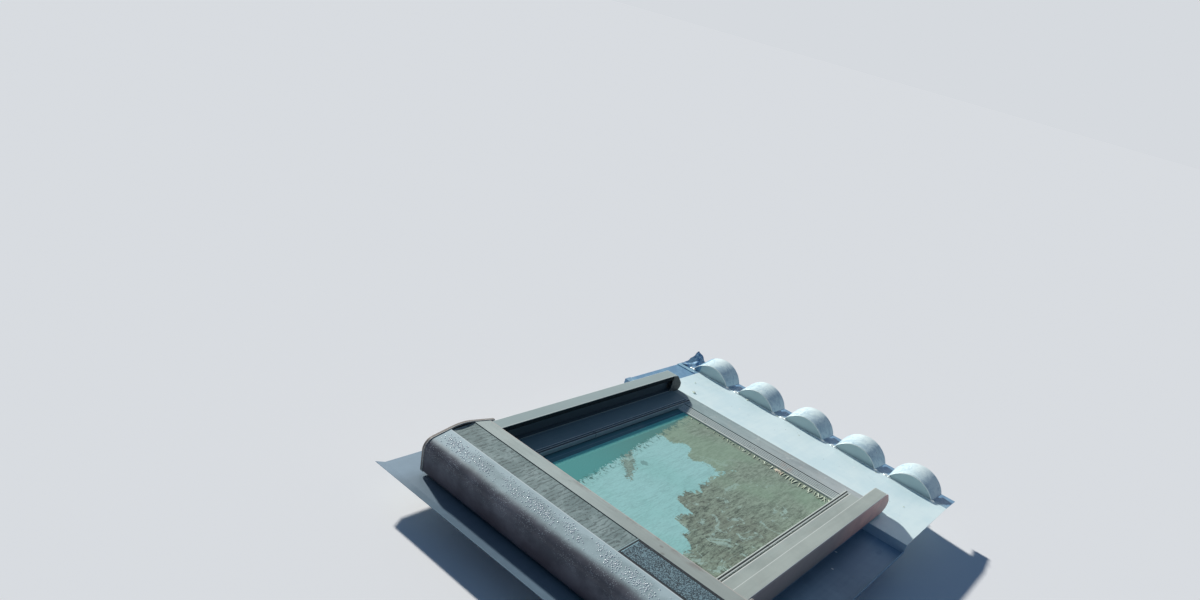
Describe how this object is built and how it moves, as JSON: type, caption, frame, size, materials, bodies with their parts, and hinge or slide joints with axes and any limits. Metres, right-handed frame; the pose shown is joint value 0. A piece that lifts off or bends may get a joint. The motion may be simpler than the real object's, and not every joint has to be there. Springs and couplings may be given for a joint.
{
  "type": "roof skylight",
  "caption": "Centre-pivot roof skylight in its frame, with a solar roller shutter box, guide rails and a zinc flashing with raised caps over the tile crowns.",
  "frame": {"origin": "centre of the four bracket holes, on top of the battens", "axes": "+Z out of the roof, +Y up the slope towards the shutter box, +X to the right for someone looking up the slope"},
  "size_m": [1.09, 1.599, 0.2106],
  "materials": {
    "lacquered_wood": "clear lacquer",
    "coated_aluminium": "weathered grey coating",
    "grey_plastic": "matt",
    "zinc_sheet": "weathered zinc",
    "black_seal": "matt",
    "bare_aluminium": "satin",
    "galvanised_steel": "galvanised",
    "clear_glass": "polished",
    "black_plastic": "matt",
    "dark_cell": "glossy cell"
  },
  "bodies": {
    "frame": {"frame_bottom": "lacquered_wood", "frame_top": "lacquered_wood", "frame_left": "lacquered_wood", "frame_right": "lacquered_wood", "frame_cover_left": "coated_aluminium", "frame_cover_right": "coated_aluminium", "frame_cover_bottom": "coated_aluminium", "guide_rail_left": "coated_aluminium", "guide_rail_right": "coated_aluminium", "shutter_casing": "coated_aluminium", "casing_base": "coated_aluminium", "rail_cap_left": "grey_plastic", "rail_cap_right": "grey_plastic", "casing_end_left": "grey_plastic", "casing_end_right": "grey_plastic", "recess_cover": "grey_plastic", "apron": "zinc_sheet", "side_gutter_left": "zinc_sheet", "side_gutter_right": "zinc_sheet", "back_gutter": "zinc_sheet", "frame_seal": "black_seal", "rail_brush_left": "black_seal", "rail_brush_right": "black_seal", "striker_plate": "galvanised_steel", "pivot_plate_left": "galvanised_steel", "pivot_plate_right": "galvanised_steel", "bracket_front_left": "galvanised_steel", "bracket_front_right": "galvanised_steel", "bracket_back_left": "galvanised_steel", "bracket_back_right": "galvanised_steel", "bracket_screws": "galvanised_steel", "solar_frame": "black_plastic", "battery_pack": "black_plastic", "tube_motor": "black_plastic", "idler_bearing": "black_plastic", "solar_cell": "dark_cell"},
    "sash": {"sash_bottom": "lacquered_wood", "sash_top": "lacquered_wood", "sash_left": "lacquered_wood", "sash_right": "lacquered_wood", "outer_pane": "clear_glass", "inner_pane": "clear_glass", "glass_spacer": "bare_aluminium", "glazing_seal": "black_seal", "sash_cover_left": "coated_aluminium", "sash_cover_right": "coated_aluminium", "sash_cover_bottom": "coated_aluminium", "sash_cover_top": "coated_aluminium", "pivot_stud_left": "galvanised_steel", "pivot_stud_right": "galvanised_steel", "bolt_guide": "bare_aluminium", "lock_case": "galvanised_steel", "bar_bracket_left": "bare_aluminium", "bar_bracket_right": "bare_aluminium"},
    "roller": {"roller_tube": "galvanised_steel", "curtain_roll": "coated_aluminium"},
    "end_bar": {"end_bar": "coated_aluminium"},
    "barrel_bolt": {"barrel_bolt": "galvanised_steel"},
    "control_bar": {"control_bar": "bare_aluminium"},
    "lock_latch": {"lock_latch": "galvanised_steel"}
  },
  "joints": [
    {"name": "sash_pivot", "type": "hinge", "parent": "frame", "child": "sash", "pos_m": [0, 0, 0.002], "axis": [-1, 0, 0], "range_deg": [0, 150]},
    {"name": "roller_spin", "type": "hinge", "parent": "frame", "child": "roller", "pos_m": [0, 0.577, 0.07], "axis": [-1, 0, 0], "range_deg": [-1232, 0]},
    {"name": "end_bar_slide", "type": "slide", "parent": "frame", "child": "end_bar", "axis": [0, 1, 0], "range_m": [-0.861, 0]},
    {"name": "control_bar_turn", "type": "hinge", "parent": "sash", "child": "control_bar", "pos_m": [0, 0.381, -0.044], "axis": [1, 0, 0], "range_deg": [-55, 0]},
    {"name": "latch_slide", "type": "slide", "parent": "sash", "child": "lock_latch", "axis": [0, -1, 0], "range_m": [-0.009, 0]},
    {"name": "barrel_bolt_slide", "type": "slide", "parent": "sash", "child": "barrel_bolt", "axis": [1, 0, 0], "range_m": [-0.016, 0]}
  ],
  "couplings": [
    {"joint": "end_bar_slide", "follows": "roller_spin", "m_per_rad": 0.04},
    {"joint": "latch_slide", "follows": "control_bar_turn", "m_per_rad": 0.009375}
  ]
}
